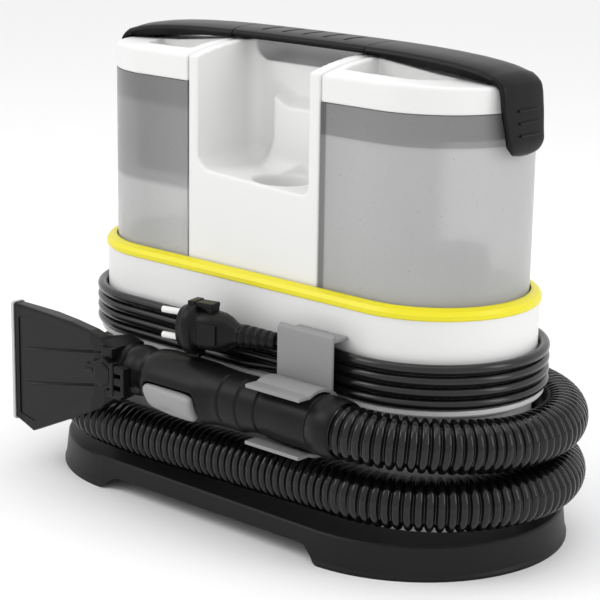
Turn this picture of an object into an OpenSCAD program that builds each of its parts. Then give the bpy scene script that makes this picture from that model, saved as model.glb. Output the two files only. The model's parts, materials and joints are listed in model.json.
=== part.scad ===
// Spot and upholstery cleaner: a spray-extraction machine with two lift-off tanks,
// a power cord wound round its housing and a suction hose wound round its waist.
// Millimetres. X runs along the length (right is +X seen from the front), -Y is the
// front, +Z is up. The origin is on the floor under the middle of the base.

/* [Base] */
// Half distance between the centres of the base's round ends
base_hs = 109.2; // [90:0.1:120]
// How far the base's middle lies left of the housing's
base_off = 5.7; // [0:0.1:10]
// Radius of the base's round ends at the deck edge
base_r = 108.3; // [95:0.1:115]
// Height of the deck edge
base_h = 24.5; // [18:0.5:32]
// Skirt and deck thickness
base_t = 4; // [3:0.5:6]

/* [Housing] */
// Half distance between the centres of the housing's round ends
body_hs = 116; // [100:1:130]
// Radius of the housing above the cord ledge
body_r = 74.5; // [65:0.5:80]
// Radius of the waist that the hose lies round
waist_r = 72; // [60:0.5:78]
// Height of the housing's top edge
body_top = 176; // [160:1:190]

/* [Tanks and column] */
// Radius of the tanks' round ends and half depth of the column
tank_r = 67; // [60:0.5:72]
// Half width of the column
col_x = 64.7; // [55:0.1:70]
// Height of the tank floor
tank_z0 = 180; // [178:0.5:185]
// Height where the lids begin
lid_z0 = 314; // [300:1:320]
// Height of the lids' edge
top_z = 333; // [325:1:340]
// Tank wall thickness
tank_t = 2.2; // [1.5:0.1:3]

/* [Handle] */
// Radius of the handle's long arc
arc_r = 3600; // [2500:50:5000]
// Height of the handle's highest point
arc_z = 350.4; // [345:0.1:360]
// Half width of the handle
bar_w = 22.5; // [18:0.5:26]
// Hinge pin position along X on each side
pin_x = 69.5; // [68:0.5:75]
// Hinge pin height
pin_z = 345.95; // [344:0.05:348]

/* [Hose and cord] */
// Hose outside diameter
hose_d = 36; // [30:0.5:40]
// Radius of the hose's centre line round the ends
hose_turn = 94; // [90:0.5:98]
// Power cord diameter
cord_d = 7.6; // [6:0.1:9]
// Radius of the cord's centre line round the ends
cord_turn = 79.5; // [78:0.5:82]

/* [Hand tool] */
// Height of the tool's axis
tool_z = 101.5; // [90:0.5:110]
// Depth of the tool's axis
tool_y = -105; // [-115:0.5:-100]
// Middle of the trigger along the tool
trig_x = -24; // [-32:0.5:-16]
// Height of the nozzle's mouth
mouth_h = 94; // [80:1:100]
// Height of the mouth's lower end
mouth_z = 35.5; // [30:0.5:40]

/* [Hidden] */
$fn = 64;
arc_c = arc_z - arc_r;
white = [0.93, 0.93, 0.92];
black = [0.06, 0.06, 0.065];
grey = [0.5, 0.5, 0.51];
smoke = [0.5, 0.5, 0.5, 0.5];
steel = [0.75, 0.75, 0.77];

// ---- helpers -------------------------------------------------------------------

// A section given as [radius, height] carried round a stadium-shaped path.
module stadium(hs, pts) {
    for (s = [0, 180]) rotate([0, 0, s]) translate([hs, 0, 0]) rotate([0, 0, -90])
        rotate_extrude(angle = 180) polygon(pts);
    rotate([90, 0, 90]) translate([0, 0, -hs]) linear_extrude(2 * hs) {
        polygon(pts);
        mirror([1, 0]) polygon(pts);
    }
}

// A shape drawn in X and Z, given depth from y0 to y1.
module slab_xz(pts, y0, y1) {
    translate([0, y1, 0]) rotate([90, 0, 0]) linear_extrude(y1 - y0) polygon(pts);
}

// A shape drawn in Y and Z, given length from x0 to x1.
module slab_yz(pts, x0, x1) {
    rotate([90, 0, 90]) translate([0, 0, x0]) linear_extrude(x1 - x0) polygon(pts);
}

// A section given as [radius, x] turned about an axis along X.
module turned_x(y, z, pts) {
    translate([0, y, z]) rotate([0, 90, 0]) rotate_extrude() polygon(pts);
}

// A tube of n sides along a route that never runs straight up.
module tube(p, r, n) {
    m = len(p);
    t = [for (i = [0:m - 1]) let (v = p[min(i + 1, m - 1)] - p[max(i - 1, 0)]) v / norm(v)];
    ring = [for (i = [0:m - 1]) for (j = [0:n - 1])
        let (a = cross(t[i], [0, 0, 1]), u = a / norm(a), w = cross(u, t[i]))
        p[i] + r * (cos(360 * j / n) * u + sin(360 * j / n) * w)];
    side = [for (i = [0:m - 2]) for (j = [0:n - 1]) let (k = (j + 1) % n)
        each [[i * n + j, i * n + n + k, i * n + k], [i * n + j, i * n + n + j, i * n + n + k]]];
    ends = [[for (j = [0:n - 1]) j], [for (j = [n - 1:-1:0]) (m - 1) * n + j]];
    polyhedron(ring, concat(side, ends));
}

// The plan of a tank: straight by the column, round at its outer end.
module tank_plan(x0, r, z0, z1) {
    translate([0, 0, z0]) {
        translate([body_hs, 0, 0]) rotate([0, 0, -90]) rotate_extrude(angle = 180)
            square([r, z1 - z0]);
        translate([x0, -r, 0]) cube([body_hs - x0, 2 * r, z1 - z0]);
    }
}

// The crown that the column and lids share: low at the front and back, high at the bar.
module crown(x0, x1) {
    slab_yz([[-70, 100], [-70, top_z - 0.8], [-67, top_z], [-45, 338.2], [-22, 341.6], [22, 341.6],
        [45, 338.2], [67, top_z], [70, top_z - 0.8], [70, 100]], x0, x1);
}

// A stretch of the handle's arc between two angles from the vertical.
module arc_bar(a0, a1) {
    translate([0, 0, arc_c]) rotate([90, 0, 0]) rotate([0, 0, 90 - a1])
        rotate_extrude(angle = a1 - a0) translate([arc_r, 0]) polygon([[-7.2, -bar_w + 3],
            [-5.8, -bar_w + 3], [-5.3, -bar_w], [-2.6, -20.5], [-1.2, -17], [-0.3, -10], [0, 0],
            [-0.3, 10], [-1.2, 17], [-2.6, 20.5], [-5.3, bar_w], [-5.8, bar_w - 3],
            [-7.2, bar_w - 3]]);
}

// ---- base ----------------------------------------------------------------------

module base_plate() color(black) {
    arch = concat([for (i = [0:8]) [-118 + 20 * i / 8, 5.5 * (1 - cos(180 * i / 8)) - 0.01]],
        [for (i = [8:-1:0]) [110 - 18 * i / 8, 6.2 * (1 - cos(180 * i / 8)) - 0.01]]);
    difference() {
        translate([-base_off, 0, 0]) stadium(base_hs, [[0, base_h], [base_r - 1.2, base_h],
            [base_r, base_h - 1.3],
            [base_r + 2.2, 4], [base_r + 3.2, 2], [base_r + 3.2, 0], [base_r - 1.6, 0],
            [base_r - 2.4, 4], [base_r - base_t, base_h - base_t], [0, base_h - base_t]]);
        slab_xz(concat(arch, [[110, -5], [-118, -5]]), -130, -90);
    }
    for (x = [-165, 165], y = [-58, 58]) translate([x, y, 5]) difference() {
        cylinder(h = base_h - base_t - 4.9, r = 12);
        translate([0, 0, -1]) cylinder(h = 9, r = 4.1);
    }
}

module rubber_feet() color(black)
    for (x = [-165, 165], y = [-58, 58]) translate([x, y, 0]) {
        cylinder(h = 5, r1 = 11, r2 = 12);
        cylinder(h = 12, r = 4);
    }

module base_screws() color(steel)
    for (x = [-150, -50, 50, 150]) translate([x, 0, 0]) {
        translate([0, 0, base_h - base_t - 2.5]) cylinder(h = 2.5, r = 4.5);
        translate([0, 0, base_h - base_t]) cylinder(h = 10, r = 2);
    }

// ---- lower housing -------------------------------------------------------------

module lower_housing() color(white) difference() {
    stadium(body_hs, [[waist_r, base_h], [waist_r, 106], [79.4, 110], [80.2, 111.2],
        [80.2, 114.4], [body_r, 114.6], [body_r, body_top], [body_r - 3, body_top],
        [body_r - 3, 117], [waist_r - 3, 112], [waist_r - 3, base_h]]);
    translate([-12, 70, 155]) cube([24, 10, 16]);
    translate([8, -80, 114.7]) cube([43, 20, 9.2]);
    translate([-100, 60, 46.5]) rotate([-90, 0, 0]) cylinder(h = 20, r = 12.6);
    for (i = [0:6]) translate([10 + 12 * i, 65, 36]) cube([5, 12, 30]);
}

module tank_deck() color(black) difference() {
    union() {
        stadium(body_hs, [[0, 173], [71.4, 173], [71.4, 176], [72.6, 176], [72.6, 178.5],
            [0, 178.5]]);
        for (s = [-1, 1]) translate([s * 90, -20, 178.5]) cube([3, 40, 1.4]);
    }
    translate([138, 0, 160]) cylinder(h = 30, r = 14.1);
    translate([-30, 48, 160]) cylinder(h = 30, r = 12.6);
    translate([22, 51, 160]) cylinder(h = 30, r = 12.6);
}

module trim_ring() color([0.93, 0.87, 0.05])
    stadium(body_hs, [[73, body_top], [75.2, body_top], [75.9, 176.8], [75.9, 179.6],
        [74, 182.4], [70.4, 184], [68.2, 184], [68.2, 179], [73, 179]]);

// ---- column and handle ---------------------------------------------------------

// The room inside the recess, grown by g: an open bowl with a finger scoop behind the bar.
module recess_space(g) {
    w = 54.5 + g;
    slab_xz([[-w, 400], [-w + 1, 266], [-w + 3.4, 258], [-w + 8.5, 252.6 - g], [-w + 15, 251 - g],
        [w - 14, 245 - g], [w - 7, 247 - g], [w - 2.5, 252 - g], [w, 260], [w, 400]], -80, -6 + g);
    slab_yz([[-12, 326 - g], [-4, 322 - g], [8, 321 - g], [18, 323 - g], [24 + g, 329 - g],
        [25.5 + g, 400], [-12, 400]], -50 - g, w);
}

module column_shell() color(white) difference() {
    intersection() {
        translate([-col_x, -tank_r, 178.5]) cube([2 * col_x, 2 * tank_r, 170]);
        crown(-col_x, col_x);
    }
    recess_space(2.5);
    translate([-col_x + 3, -tank_r + 3, 170]) cube([2 * col_x - 6, 2 * tank_r - 6, 66]);
    translate([-col_x + 3, 0, 170]) cube([2 * col_x - 6, tank_r - 3, 145]);
    translate([-col_x + 3, 30, 170]) cube([2 * col_x - 6, tank_r - 33, 160]);
    translate([7, -42, 200]) cylinder(h = 60, r = 22.6);
}

module recess_tray() color(white) difference() {
    union() {
        difference() {
            intersection() {
                recess_space(2.45);
                translate([-60, -66.9, 200]) cube([120, 99.4, 145]);
                crown(-60, 60);
            }
            difference() {
                recess_space(0);
                // bulge over the ducts, with a rounded left edge and a sloping top
                slab_xz([[-34, 240], [-34, 292], [-31, 300], [-25, 305], [-16, 308], [70, 308],
                    [70, 240]], -11, -3);
                slab_xz([[-30, 240], [-30, 290], [-27, 297], [-20, 301], [70, 301], [70, 240]],
                    -17, -3);
                slab_xz([[-24, 240], [-24, 288], [-20, 295], [70, 297], [70, 240]], -20, -3);
            }
        }
        translate([7, -42, 219]) cylinder(h = 27, r = 22.5);
    }
    translate([7, -42, 221]) cylinder(h = 60, r = 20.3);
}

module grip_bar() color(black) difference() {
    union() {
        arc_bar(-1.023, 1.023);
        for (s = [-1, 1]) translate([s * 60 - 4, -18, 338]) cube([8, 36, 7]);
    }
    for (i = [-2:2]) translate([i * 20 - 1, -12, 349.2]) cube([2, 24, 5]);
    for (s = [-1, 1]) slab_yz([[-67, 330], [-67, top_z], [-45, 338.2], [-22, 341.6], [22, 341.6],
        [45, 338.2], [67, top_z], [67, 330]], s * 60 - 6, s * 60 + 6);
}

module clip_bracket() color(grey) difference() {
    union() {
        // front plate over the cords with a bead along its top
        translate([53.5, -94.8, 116]) cube([51.5, 2.6, 43]);
        translate([53.5, -93.5, 159]) rotate([0, 90, 0]) cylinder(h = 51.5, r = 1.9);
        translate([55.5, -93.5, 154.4]) cube([47.5, 18.9, 2.6]);
        translate([60, -90, 110.4]) cube([35, 9.5, 3.6]);
        // C-shaped clip round the tool
        translate([54, tool_y, tool_z]) rotate([0, 90, 0]) difference() {
            cylinder(h = 50, r = 24.4);
            translate([0, 0, -1]) cylinder(h = 52, r = 21.6);
            rotate([0, 0, -90]) translate([0, 0, -1]) slab_fan(116, 40, 52);
        }
        for (s = [0, 1]) translate([0, 0, tool_z]) mirror([0, 0, s])
            translate([53.5, tool_y - 10, 18.6]) rotate([-10, 0, 0]) mirror([0, 1, 0])
                cube([51, 9, 2.6]);
    }
    translate([40, tool_y, tool_z]) rotate([0, 90, 0]) cylinder(h = 70, r = 21.5);
}

// A wedge of the given angle, used to open the clip's front.
module slab_fan(a, r, h)
    linear_extrude(h) polygon([[0, 0], [r * cos(-a / 2) * 1.5, r * sin(-a / 2) * 1.5],
        [r * 1.6, 0], [r * cos(a / 2) * 1.5, r * sin(a / 2) * 1.5]]);

// ---- motor, fan and pump inside the housing --------------------------------------

module motor_can() color(steel) translate([-55, 0, 0]) difference() {
    translate([0, 0, 40]) cylinder(h = 78, r = 38);
    translate([0, 0, 43]) cylinder(h = 72, r = 33);
    translate([0, 0, 30]) cylinder(h = 100, r = 11);
}

module motor_mount() color(black) translate([-55, 0, base_h]) difference() {
    cylinder(h = 40 - base_h, r = 38);
    translate([0, 0, -1]) cylinder(h = 30, r = 30);
}

module bearing(z) color(steel) translate([-55, 0, z]) difference() {
    cylinder(h = 6, r = 11);
    translate([0, 0, -1]) cylinder(h = 8, r = 4.05);
}

module bearing_low() bearing(41);

module bearing_top() bearing(111);

module motor_shaft() color(steel) translate([-55, 0, 36]) cylinder(h = 104, r = 4);

module armature() color([0.6, 0.35, 0.15]) translate([-55, 0, 54]) difference() {
    cylinder(h = 50, r = 31);
    translate([0, 0, -1]) cylinder(h = 52, r = 4);
    for (a = [0:30:330]) rotate([0, 0, a]) translate([26, -1, -1]) cube([8, 2, 52]);
}

module fan_impeller() color(steel) translate([-55, 0, 124]) difference() {
    union() {
        cylinder(h = 2, r = 44);
        cylinder(h = 14, r = 9);
        for (a = [0:40:320]) rotate([0, 0, a]) translate([7, -1, 1]) cube([36, 2, 11]);
    }
    translate([0, 0, -1]) cylinder(h = 16, r = 4);
}

module fan_shroud() color(black) translate([-55, 0, 118.2]) difference() {
    cylinder(h = 25, r = 52);
    translate([0, 0, 2.5]) cylinder(h = 20, r = 47);
    translate([0, 0, -1]) cylinder(h = 30, r = 15);
    translate([40, -8, 5]) cube([20, 16, 12]);
}

module air_duct() color(black) difference() {
    union() {
        translate([-30, 48, 152]) cylinder(h = 160, r = 12.2);
        translate([-73, -18, 143.4]) cube([56, 78, 14]);
    }
    translate([-30, 48, 150]) cylinder(h = 170, r = 10);
    translate([-71, -16, 145.4]) cube([52, 74, 10]);
    translate([-55, 0, 140]) cylinder(h = 8, r = 14);
}

module suction_route(r) translate([0, 51, 46.5]) {
    translate([22, 0, 0]) cylinder(h = 265, r = r);
    translate([-100, 0, 0]) rotate([0, 90, 0]) cylinder(h = 122, r = r);
    translate([-100, 0, 0]) rotate([-90, 0, 0]) cylinder(h = 23, r = r);
    for (x = [-100, 22]) translate([x, 0, 0]) sphere(r = r);
}

module suction_pipe() color(black) difference() {
    suction_route(12.2);
    suction_route(10.2);
    translate([22, 51, 300]) cylinder(h = 20, r = 10.2);
    translate([-100, 70, 46.5]) rotate([-90, 0, 0]) cylinder(h = 8, r = 10.2);
}

module pump_body() color(steel) {
    translate([85, -22, base_h]) cube([56, 44, 40]);
    translate([113, 0, 60]) cylinder(h = 40, r = 16);
    translate([113, 0, 98]) cylinder(h = 16, r = 6);
}

module water_tube() color([0.8, 0.8, 0.8])
    tube([[113, 0, 113], [116, 0, 125], [122, 0, 136], [130, 0, 145], [136, 0, 154],
        [138.5, 0, 164]], 4, 10);

module valve_socket() color(black) translate([138, 0, 163]) difference() {
    cylinder(h = 16, r = 14);
    translate([0, 0, 2]) cylinder(h = 20, r = 8.6);
}

// ---- switch, gland and port on the back ------------------------------------------

module switch_bezel() color(black) difference() {
    translate([-12, 71, 155]) cube([24, 5, 16]);
    translate([-10, 60, 157]) cube([20, 20, 12]);
}

module switch_rocker() color(black) intersection() {
    translate([-9.6, 71.5, 158.5]) cube([19.2, 6.4, 9]);
    translate([-12, 66, 163]) rotate([0, 90, 0]) cylinder(h = 24, r = 11);
}

module cord_gland() color(black) difference() {
    translate([8.2, -75.4, 114.9]) cube([42.6, 10.4, 8.8]);
    translate([56, -67.6, 119]) rotate([0, 0, 11]) translate([-40, 0, 0]) rotate([0, 90, 0])
        cylinder(h = 50, r = 3.9);
}

module hose_port() color(black) difference() {
    union() {
        turned_x(hose_turn, 46.5, [[0, -118], [16, -118], [20.5, -113], [20.5, -62], [0, -62]]);
        translate([-118, 72.1, 30]) cube([36, 20, 33]);
    }
    turned_x(hose_turn, 46.5, [[0, -100], [18.4, -100], [18.4, -50], [0, -50]]);
    translate([-100, 60, 46.5]) rotate([-90, 0, 0]) cylinder(h = 40, r = 10.2);
    translate([-100, 60, 46.5]) rotate([-90, 0, 0]) cylinder(h = 14.2, r = 12.6);
}

// ---- power cord --------------------------------------------------------------------

module cord_coil() color(black)
    stadium(body_hs, [[75.7, 115], [83.3, 115], [83.3, 147.3], [75.7, 147.3]]);

module cord_tail() color(black)
    tube([[38, -71.5, 119], [30, -73, 119], [22, -75.6, 119], [14, -78, 119], [6, -79.2, 119]],
        cord_d / 2, 8);

module cord_lead() color(black)
    tube([[104, -79.8, 143.6], [92, -81.3, 145], [79, -84, 146.4], [66, -86.6, 146.2],
        [57, -88, 145.5], [49, -89.4, 145]], cord_d / 2, 8);

// The plug leans out a little, as its cord comes from behind the bracket.
module plug_place() translate([50, -89.2, 145]) rotate([0, 0, 12]) children();

module plug_body() color(black) plug_place()
    turned_x(0, 0, [[0, -80], [15.5, -80], [15.5, -74.5], [19.6, -73.5], [19.6, -67], [17, -65],
        [14, -61], [14, -46], [11, -40], [8.2, -36], [7.6, -30], [7, -29], [7.6, -28], [7.4, -22],
        [6.6, -21], [7, -20], [6.4, -10], [5.2, 0], [0, 0]]);

module plug_pins() color(steel) plug_place()
    for (s = [-1, 1]) translate([-98.5, 0, s * 9.5]) rotate([0, 90, 0])
        cylinder(h = 18.5, r = 2.4);

// ---- suction hose -------------------------------------------------------------------

module hose() color(black) {
    lead = [105, 104.7, 103.6, 101.8, 99.6, 97.4, 95.6, 94.6];
    path = concat([[113, tool_y, tool_z]],
        [for (i = [0:7]) let (a = -87 + i * 10)
            [body_hs + lead[i] * cos(a), lead[i] * sin(a), 101.2 - i * 1.2]],
        [for (a = [-5:15:90]) [body_hs + hose_turn * cos(a), hose_turn * sin(a), 92.4]],
        [for (x = [105:-45:-75]) [x, hose_turn, 92.2]],
        [for (a = [90:15:270]) let (u = (a - 90) / 180)
            [-body_hs + hose_turn * cos(a), hose_turn * sin(a), 92 - 43 * u * u * (3 - 2 * u)]],
        [for (x = [-75:45:105]) [x, -hose_turn, 50.4 + x / 35]],
        [for (a = [-80:16:80]) [body_hs + hose_turn * cos(a), hose_turn * sin(a),
            53.6 - (a + 80) * 0.015]],
        [for (x = [105:-45:-90]) [x, hose_turn, 46.5 + max(0, x + 20) * 0.034]]);
    tube(path, hose_d / 2, 10);
}

// ---- hand tool ----------------------------------------------------------------------

module tool_body() color(black) difference() {
    turned_x(tool_y, tool_z, [[16.6, -80], [17.6, -80], [18.8, -76], [19, -70], [18, -64], [17, -61],
        [18.6, -57], [20.8, -50], [21.2, -40], [20.6, 0], [19.4, 10], [19.2, 20], [19.2, 22],
        [18.7, 23], [19.2, 24], [19.2, 40], [18.7, 41], [19.2, 42], [19.2, 58], [18.7, 59],
        [19.2, 60], [19.6, 72], [20.5, 86], [20.7, 108], [17.5, 108], [16.5, 80], [16, 20],
        [16.6, -60]]);
    translate([trig_x, tool_y, tool_z]) rotate([27, 0, 0]) translate([-27, -40, -10.5])
        cube([54, 30, 21]);
}

module tool_cuff() color(black)
    turned_x(tool_y, tool_z, [[18.2, 108.3], [21, 108.3], [21, 122], [20.4, 126.5], [19.4, 128],
        [18.2, 128]]);

module spray_valve() color(grey) translate([trig_x, tool_y, tool_z]) rotate([27, 0, 0])
    translate([-26.5, -13.6, -10]) cube([53, 3, 20]);

module spray_button() color(grey) translate([trig_x, tool_y, tool_z]) rotate([27, 0, 0])
    difference() {
        hull() for (x = [-21, 21], z = [-5, 5]) translate([x, -25.5, z]) rotate([-90, 0, 0]) {
            translate([0, 0, 1.5]) cylinder(h = 6, r = 4.8, $fn = 24);
            cylinder(h = 2, r = 3.4, $fn = 24);
        }
        translate([-20, -22, -5]) cube([40, 6, 10]);
    }

// ---- nozzle -----------------------------------------------------------------------

module nozzle_shape(g) intersection() {
    z = tool_z;
    slab_xz([[-210 - 2 * g, mouth_z + g], [-207, mouth_z + g], [-188, mouth_z - 6 + g],
        [-97, 73 + g], [-85 - g, 73 + g],
        [-85 - g, z + 17 - g], [-97, z + 19 - g], [-137, mouth_z + mouth_h - g],
        [-210 - 2 * g, mouth_z + mouth_h - g]], -140, -80);
    linear_extrude(200) polygon([[-240, -116 + g], [-208, -116 + g], [-112, -123 + g],
        [-80, -123 + g], [-80, -91 - g], [-97, -91 - g], [-104, -112.5 - g], [-128, -112.5 - g],
        [-145, -110 - g], [-165, -106 - g], [-240, -106 - g]]);
}

module nozzle_body() color(black) difference() {
    union() {
        nozzle_shape(0);
        translate([-97, tool_y, tool_z]) rotate([0, 90, 0]) cylinder(h = 16.4, r = 18);
        translate([-84, tool_y, tool_z]) rotate([0, 90, 0]) cylinder(h = 16, r = 16.1);
    }
    nozzle_shape(2);
    translate([-94, tool_y, tool_z]) rotate([0, 90, 0]) cylinder(h = 40, r = 14);
}

module nozzle_lip() color(grey) difference() {
    translate([-212, -117, mouth_z - 1]) cube([4, 12, mouth_h + 2]);
    translate([-220, -116, mouth_z]) cube([20, 10, mouth_h]);
}

module nozzle_knob() color(black) difference() {
    union() {
        translate([-91, -122.5, 99.5]) rotate([90, 0, 0]) cylinder(h = 8.5, r = 12.4, $fn = 6);
        translate([-80, -130.7, 88]) cube([12, 3.6, 20]);
    }
    // clear of the tool's collar
    translate([-80.8, -125.6, 90]) cube([4, 10, 20]);
}

module spray_jet() color(black) translate([-112, -124.5, 100]) rotate([0, 90, 0])
    cylinder(h = 8, r = 4);

// ---- tanks ----------------------------------------------------------------------

module shell_solid() difference() {
    tank_plan(col_x + 1, tank_r, tank_z0, lid_z0 - 0.2);
    tank_plan(col_x + 1 + tank_t, tank_r - tank_t, tank_z0 + tank_t, lid_z0 + 5);
}

module lid_solid() difference() {
    intersection() {
        tank_plan(col_x + 1, tank_r, lid_z0, 345);
        crown(col_x, 190);
        slab_xz([[60, 300], [60, 341.8], [80, 340], [100, 337.6], [125, 334.8], [150, 333.2],
            [190, 331.8], [190, 300]], -80, 80);
    }
    // open finger pockets in front of and behind the web under the bar
    for (s = [0, 1]) mirror([0, s, 0]) intersection() {
        tank_plan(74, tank_r - 11, 320, 350);
        translate([74, -56, 320]) cube([90, 41, 40]);
    }
    tank_plan(col_x + 4, tank_r - 3.2, lid_z0 - 1, lid_z0 + 2.6);
}

module ears() for (s = [-1, 1]) difference() {
    union() {
        translate([pin_x, s * 9 - 2, pin_z]) rotate([-90, 0, 0]) cylinder(h = 4, r = 3);
        translate([pin_x - 2.2, s * 9 - 2, 337]) cube([4.4, 4, pin_z - 337]);
    }
    translate([pin_x, s * 9 - 3, pin_z]) rotate([-90, 0, 0]) cylinder(h = 6, r = 1.5);
}

module seal_solid() difference() {
    tank_plan(col_x + 4, tank_r - 3.4, 296, lid_z0 + 2.4);
    tank_plan(col_x + 6.5, tank_r - 5.8, 290, lid_z0 + 10);
}

module pin_solid() translate([pin_x, -19, pin_z]) rotate([-90, 0, 0]) cylinder(h = 38, r = 1.5);

module arm_solid() difference() {
    union() {
        slab_xz([[pin_x, 320], [pin_x, 349.8], [98, 349], [121, 348.1], [140, 346.9], [156, 345.2],
            [166, 343.4], [173.5, 341.2], [180, 338.4], [180, 320]], -bar_w, bar_w);
        translate([pin_x, -bar_w, pin_z]) rotate([-90, 0, 0]) cylinder(h = 2 * bar_w, r = 3.85);
        intersection() {
            slab_xz([[160, 330], [160, 344.5], [166, 343.4], [173.5, 341.2], [180, 338.4],
                [184, 335.8], [186.6, 332.6], [188.3, 327], [189, 317], [189, 293], [188, 287.5],
                [186.4, 285], [184.6, 285.6], [183.8, 288], [183.8, 326], [180, 331.8]],
                -bar_w, bar_w);
            union() {
                translate([150, -bar_w, 297]) cube([50, 2 * bar_w, 60]);
                translate([150, -bar_w + 12, 280]) cube([50, 2 * bar_w - 24, 40]);
                for (s = [-1, 1]) translate([150, s * (bar_w - 12), 297]) rotate([0, 90, 0])
                    cylinder(h = 50, r = 12);
            }
        }
        for (i = [0:2]) translate([188, -9, 296 + 9 * i]) cube([2, 18, 2]);
    }
    slab_xz([[60, 300], [60, 342.2], [78, 342.2], [100, 338.8], [125, 336], [150, 334.2],
        [183.8, 332.6], [183.8, 300]], -60, 60);
    for (s = [-1, 1]) {
        translate([pin_x, s * 9 - 2.6, pin_z]) rotate([-90, 0, 0]) cylinder(h = 5.2, r = 3.4);
        translate([pin_x - 3.4, s * 9 - 2.6, 338]) cube([6.8, 5.2, pin_z - 338]);
        translate([pin_x - 6, s * 9 - 2.6, 338]) cube([6, 5.2, pin_z + 1.1 - 338]);
    }
    translate([pin_x, -19.2, pin_z]) rotate([-90, 0, 0]) cylinder(h = 38.4, r = 1.55);
}

module fresh_shell() color(smoke) difference() {
    shell_solid();
    translate([138, 0, 170]) cylinder(h = 20, r = 8);
}

module fresh_lid() color(white) union() {
    lid_solid();
    ears();
}

module fresh_seal() color(grey) seal_solid();

module fresh_strainer() color(grey) difference() {
    translate([123, -15, tank_z0 + tank_t + 3]) cube([30, 30, 30]);
    for (i = [0:3]) translate([110, -10 + 6 * i, tank_z0 + 10]) cube([60, 3, 18]);
}

module fresh_valve() color(black) translate([138, 0, 0]) {
    translate([0, 0, 168]) cylinder(h = 17.2, r = 8);
    translate([0, 0, tank_z0 + tank_t]) cylinder(h = 3, r = 13);
}

module fresh_pin() color(steel) pin_solid();

module fresh_arm() color(black) arm_solid();

module dirty_shell() color(smoke) mirror([1, 0, 0]) shell_solid();

module dirty_lid() color(white) mirror([1, 0, 0]) union() {
    lid_solid();
    ears();
}

module dirty_seal() color(grey) mirror([1, 0, 0]) seal_solid();

module dirty_separator() color(grey) difference() {
    translate([-150, -40, 236]) cube([72, 80, 80.4]);
    translate([-148, -38, 230]) cube([68, 76, 84]);
}

module dirty_pipe() color(grey) translate([-100, 20, 0]) difference() {
    translate([0, 0, 184]) cylinder(h = 128, r = 12);
    translate([0, 0, 180]) cylinder(h = 140, r = 10);
}

module dirty_float() color([0.85, 0.3, 0.1]) translate([-128, -12, 246]) cylinder(h = 20, r = 14);

module dirty_pin() color(steel) mirror([1, 0, 0]) pin_solid();

module dirty_arm() color(black) mirror([1, 0, 0]) arm_solid();

base_plate();
rubber_feet();
base_screws();
lower_housing();
tank_deck();
trim_ring();
column_shell();
recess_tray();
grip_bar();
clip_bracket();
motor_can();
motor_mount();
bearing_low();
bearing_top();
motor_shaft();
armature();
fan_impeller();
fan_shroud();
air_duct();
suction_pipe();
pump_body();
water_tube();
valve_socket();
switch_bezel();
switch_rocker();
cord_gland();
hose_port();
cord_coil();
cord_tail();
cord_lead();
plug_body();
plug_pins();
hose();
tool_body();
tool_cuff();
spray_valve();
spray_button();
nozzle_body();
nozzle_lip();
nozzle_knob();
spray_jet();
fresh_shell();
fresh_lid();
fresh_seal();
fresh_strainer();
fresh_valve();
fresh_pin();
fresh_arm();
dirty_shell();
dirty_lid();
dirty_seal();
dirty_separator();
dirty_pipe();
dirty_float();
dirty_pin();
dirty_arm();
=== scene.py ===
import json, math
import bpy, bmesh
from mathutils import Vector, Matrix


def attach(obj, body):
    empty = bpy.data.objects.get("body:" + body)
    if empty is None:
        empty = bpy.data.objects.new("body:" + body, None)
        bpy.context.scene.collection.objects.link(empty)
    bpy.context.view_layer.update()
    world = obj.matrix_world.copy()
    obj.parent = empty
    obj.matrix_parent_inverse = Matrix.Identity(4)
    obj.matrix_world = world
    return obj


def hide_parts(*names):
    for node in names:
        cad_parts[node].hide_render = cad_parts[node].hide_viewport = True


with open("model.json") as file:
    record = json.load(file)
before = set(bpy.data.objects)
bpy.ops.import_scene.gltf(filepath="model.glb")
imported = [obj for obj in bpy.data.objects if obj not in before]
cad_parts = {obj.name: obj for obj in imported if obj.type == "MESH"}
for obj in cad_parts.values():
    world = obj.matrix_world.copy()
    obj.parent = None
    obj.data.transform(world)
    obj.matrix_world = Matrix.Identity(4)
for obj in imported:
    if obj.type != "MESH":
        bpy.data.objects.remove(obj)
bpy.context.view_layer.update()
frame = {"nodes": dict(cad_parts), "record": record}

D = bpy.data
SC = bpy.context.scene
NODES = frame["nodes"]
SLOT = {s["node"]: s["material_slot"] for s in frame["record"]["subparts"]}
HS = 0.116                # half the straight of the housing's stadium plan
TY, TZ = -0.105, 0.1015   # the hand tool's axis
UP = Vector((0, 0, 1))


def rad(a):
    return math.radians(a)


def sm(a, b, x):
    """Smooth step from 0 at a to 1 at b."""
    t = min(1, max(0, (x - a) / (b - a)))
    return t * t * (3 - 2 * t)


def span(a, b, n):
    return [a + (b - a) * i / n for i in range(n + 1)]


def superellipse(a, e):
    """Point at angle a on a unit superellipse; e = 1 is a circle, less is squarer."""
    c, s = math.cos(a), math.sin(a)
    return math.copysign(abs(c) ** e, c), math.copysign(abs(s) ** e, s)


# ---------------------------------------------------------------- camera
AZ, EL, ROLL = rad(42.67), rad(14.55), rad(0.88)
EYE = (0.957, -1.052, 0.519)
fw = Vector((-math.sin(AZ) * math.cos(EL), math.cos(AZ) * math.cos(EL), -math.sin(EL)))
right = fw.cross(UP).normalized()
up = right.cross(fw).normalized()
cr, su = math.cos(ROLL), math.sin(ROLL)
cx, cy = right * cr + up * su, -right * su + up * cr
cam = D.objects.new("camera", D.cameras.new("camera"))
SC.collection.objects.link(cam)
cam.matrix_world = Matrix((*((cx[i], cy[i], -fw[i], EYE[i]) for i in range(3)), (0, 0, 0, 1)))
cam.data.lens = 117.6
cam.data.sensor_width = 36
cam.data.clip_start = 0.02
cam.data.clip_end = 50
SC.camera = cam
SC.view_settings.view_transform = "Standard"


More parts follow.
